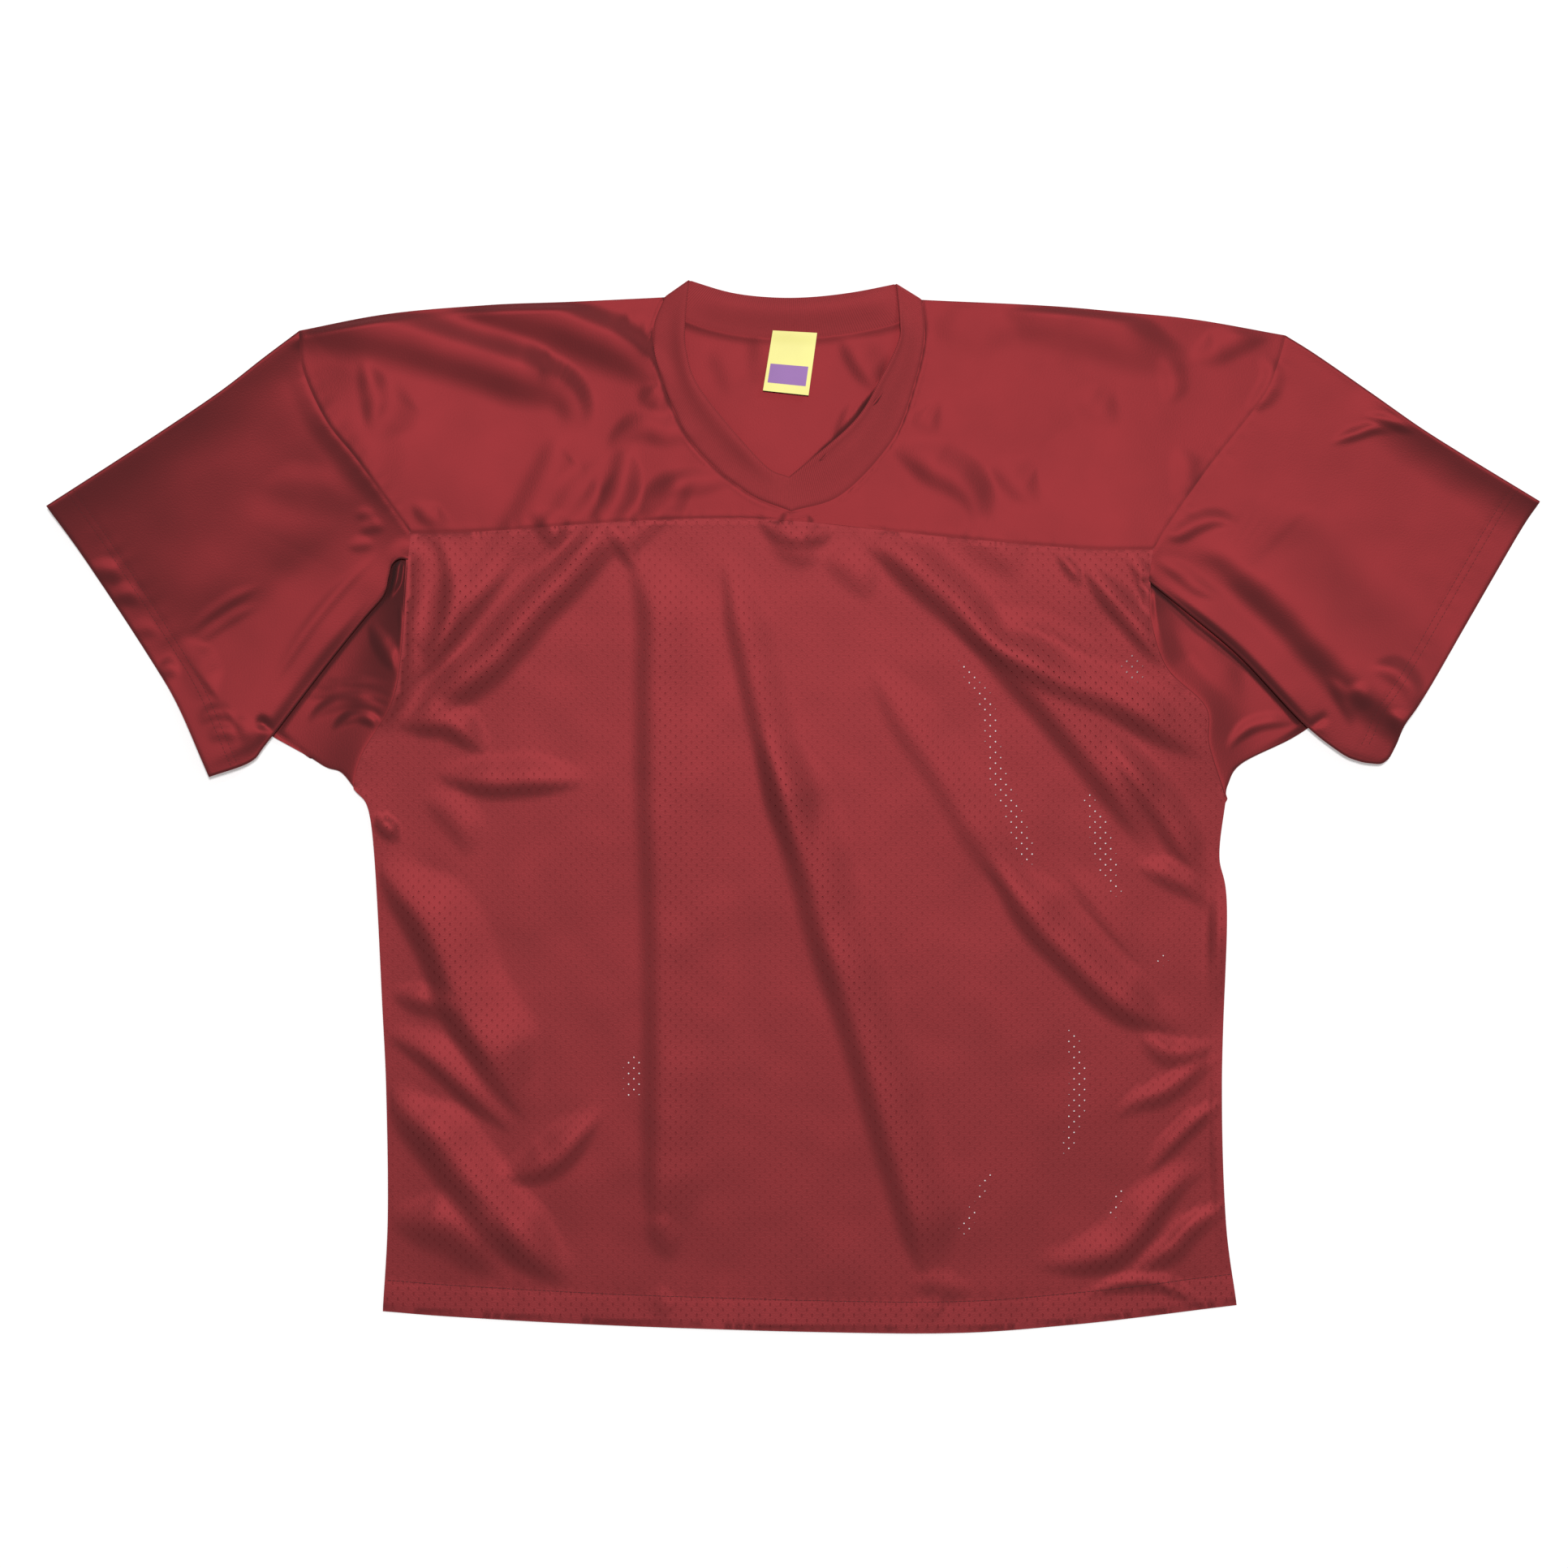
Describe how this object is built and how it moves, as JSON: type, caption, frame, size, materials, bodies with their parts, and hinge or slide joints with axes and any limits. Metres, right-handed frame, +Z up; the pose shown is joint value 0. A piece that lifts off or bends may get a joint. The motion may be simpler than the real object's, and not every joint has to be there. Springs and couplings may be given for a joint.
{
  "type": "football jersey",
  "caption": "Loose V-neck football practice jersey laid flat, with short sleeves, a smooth yoke over a perforated mesh body, underarm gussets and a rib collar.",
  "frame": {"origin": "middle of the bounding box in plan, on the surface that the jersey lies on", "axes": "+Z up out of the surface, with the front of the jersey facing up; +Y towards the neck, -Y towards the hem; +X towards the wearer's left sleeve"},
  "size_m": [1.2117, 0.8558, 0.0139],
  "materials": {
    "dazzle": "smooth satin-faced polyester knit, deep red",
    "mesh": "perforated polyester mesh knit, deep red, semi-matt",
    "rib": "fine 1x1 rib knit, deep red, matt",
    "label": "coated woven label, yellow with a plain purple block"
  },
  "bodies": {
    "root": {"front_body": "mesh", "back_body": "mesh", "front_yoke": "dazzle", "back_yoke": "dazzle", "sleeve_right": "dazzle", "sleeve_left": "dazzle", "gusset_right": "dazzle", "gusset_left": "dazzle", "collar": "rib", "neck_label": "label"}
  },
  "joints": []
}
